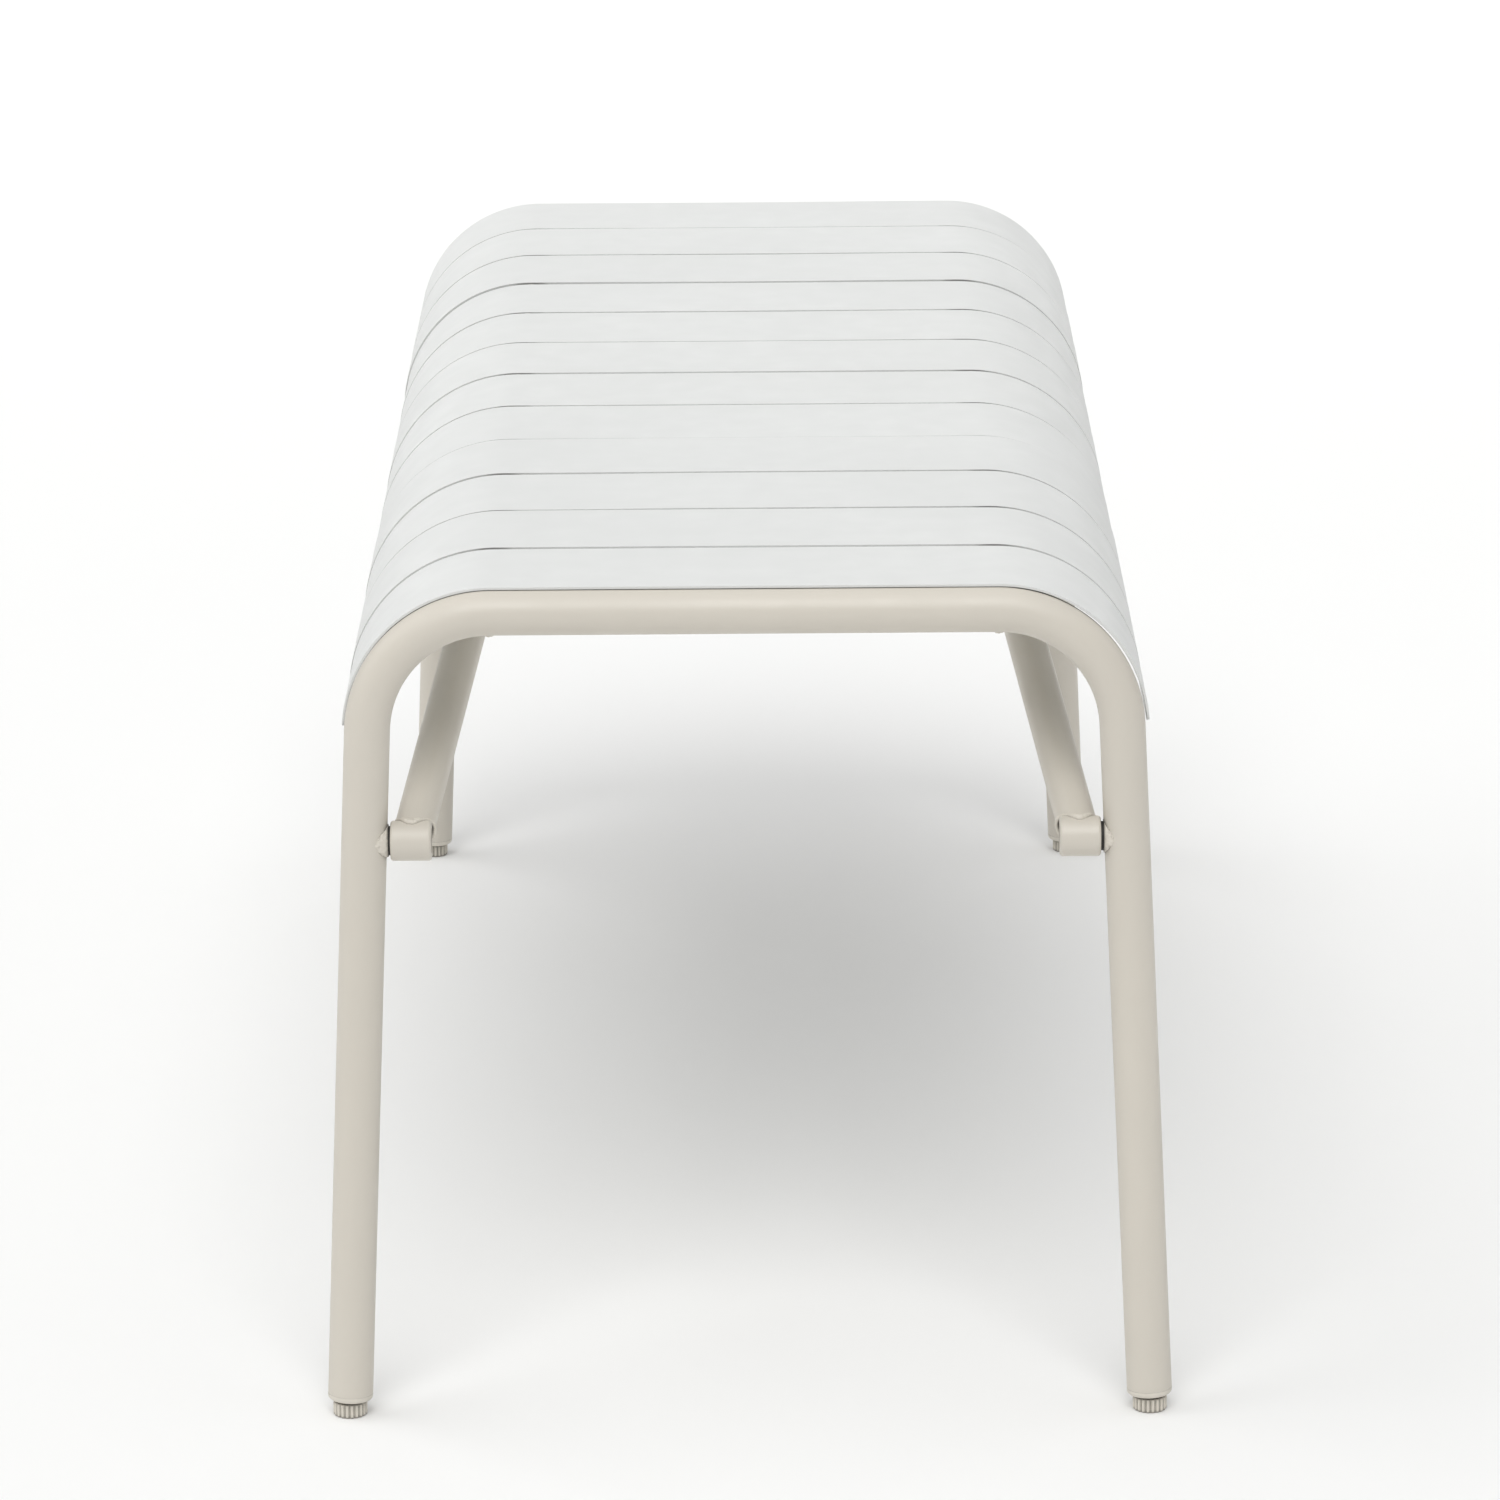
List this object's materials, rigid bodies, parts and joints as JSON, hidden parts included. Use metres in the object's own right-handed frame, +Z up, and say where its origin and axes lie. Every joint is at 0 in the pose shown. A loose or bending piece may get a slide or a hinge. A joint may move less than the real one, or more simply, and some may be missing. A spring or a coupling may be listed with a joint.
{
  "type": "garden bench",
  "caption": "Backless garden bench: sheet-metal slats wrap down over both long sides of two bent-tube end frames, braced by sloping struts, on screw-out feet.",
  "frame": {"origin": "on the floor, at the middle of the bench", "axes": "+X across the seat to the right side, +Y along the bench to the rear end frame, +Z up"},
  "size_m": [0.4678, 1.1136, 0.468],
  "materials": {
    "powder_coat": "fine-textured satin powder coat, warm light grey",
    "seat_coat": "fine-textured satin powder coat, warm light grey",
    "foot_plastic": "moulded plastic, light grey",
    "washer_nylon": "black nylon",
    "bolt_steel": "zinc-plated steel"
  },
  "bodies": {
    "bench": {"end_frame_front": "powder_coat", "end_frame_rear": "powder_coat", "slat_01": "seat_coat", "slat_02": "seat_coat", "slat_03": "seat_coat", "slat_04": "seat_coat", "slat_05": "seat_coat", "slat_06": "seat_coat", "slat_07": "seat_coat", "slat_08": "seat_coat", "slat_09": "seat_coat", "slat_10": "seat_coat", "slat_11": "seat_coat", "slat_12": "seat_coat", "seat_rail_left": "powder_coat", "seat_rail_right": "powder_coat", "strut_front_left": "powder_coat", "strut_sleeve_front_left": "powder_coat", "foot_insert_front_left": "foot_plastic", "strut_front_right": "powder_coat", "strut_sleeve_front_right": "powder_coat", "foot_insert_front_right": "foot_plastic", "strut_rear_left": "powder_coat", "strut_sleeve_rear_left": "powder_coat", "foot_insert_rear_left": "foot_plastic", "strut_rear_right": "powder_coat", "strut_sleeve_rear_right": "powder_coat", "foot_insert_rear_right": "foot_plastic", "strut_bolts": "bolt_steel", "strut_washers": "washer_nylon", "leg_bushes": "powder_coat"},
    "stud_front_left": {"foot_stud_front_left": "bolt_steel"},
    "pad_front_left": {"foot_pad_front_left": "foot_plastic"},
    "stud_front_right": {"foot_stud_front_right": "bolt_steel"},
    "pad_front_right": {"foot_pad_front_right": "foot_plastic"},
    "stud_rear_left": {"foot_stud_rear_left": "bolt_steel"},
    "pad_rear_left": {"foot_pad_rear_left": "foot_plastic"},
    "stud_rear_right": {"foot_stud_rear_right": "bolt_steel"},
    "pad_rear_right": {"foot_pad_rear_right": "foot_plastic"}
  },
  "joints": [
    {"name": "foot_front_left_extend", "type": "slide", "parent": "bench", "child": "stud_front_left", "axis": [-0.0436, -0.0436, -0.9981], "range_m": [0, 0.008]},
    {"name": "foot_front_left_turn", "type": "hinge", "parent": "stud_front_left", "child": "pad_front_left", "pos_m": [-0.2217, -0.54456, 0.004], "axis": [0, 0, -1], "range_deg": [0, 2305]},
    {"name": "foot_front_right_extend", "type": "slide", "parent": "bench", "child": "stud_front_right", "axis": [0.0436, -0.0436, -0.9981], "range_m": [0, 0.008]},
    {"name": "foot_front_right_turn", "type": "hinge", "parent": "stud_front_right", "child": "pad_front_right", "pos_m": [0.2217, -0.54456, 0.004], "axis": [0, 0, -1], "range_deg": [0, 2305]},
    {"name": "foot_rear_left_extend", "type": "slide", "parent": "bench", "child": "stud_rear_left", "axis": [-0.0436, 0.0436, -0.9981], "range_m": [0, 0.008]},
    {"name": "foot_rear_left_turn", "type": "hinge", "parent": "stud_rear_left", "child": "pad_rear_left", "pos_m": [-0.2217, 0.54456, 0.004], "axis": [0, 0, -1], "range_deg": [0, 2305]},
    {"name": "foot_rear_right_extend", "type": "slide", "parent": "bench", "child": "stud_rear_right", "axis": [0.0436, 0.0436, -0.9981], "range_m": [0, 0.008]},
    {"name": "foot_rear_right_turn", "type": "hinge", "parent": "stud_rear_right", "child": "pad_rear_right", "pos_m": [0.2217, 0.54456, 0.004], "axis": [0, 0, -1], "range_deg": [0, 2305]}
  ],
  "couplings": [
    {"joint": "foot_front_left_turn", "follows": "foot_front_left_extend", "rad_per_m": 5026.5},
    {"joint": "foot_front_right_turn", "follows": "foot_front_right_extend", "rad_per_m": 5026.5},
    {"joint": "foot_rear_left_turn", "follows": "foot_rear_left_extend", "rad_per_m": 5026.5},
    {"joint": "foot_rear_right_turn", "follows": "foot_rear_right_extend", "rad_per_m": 5026.5}
  ]
}
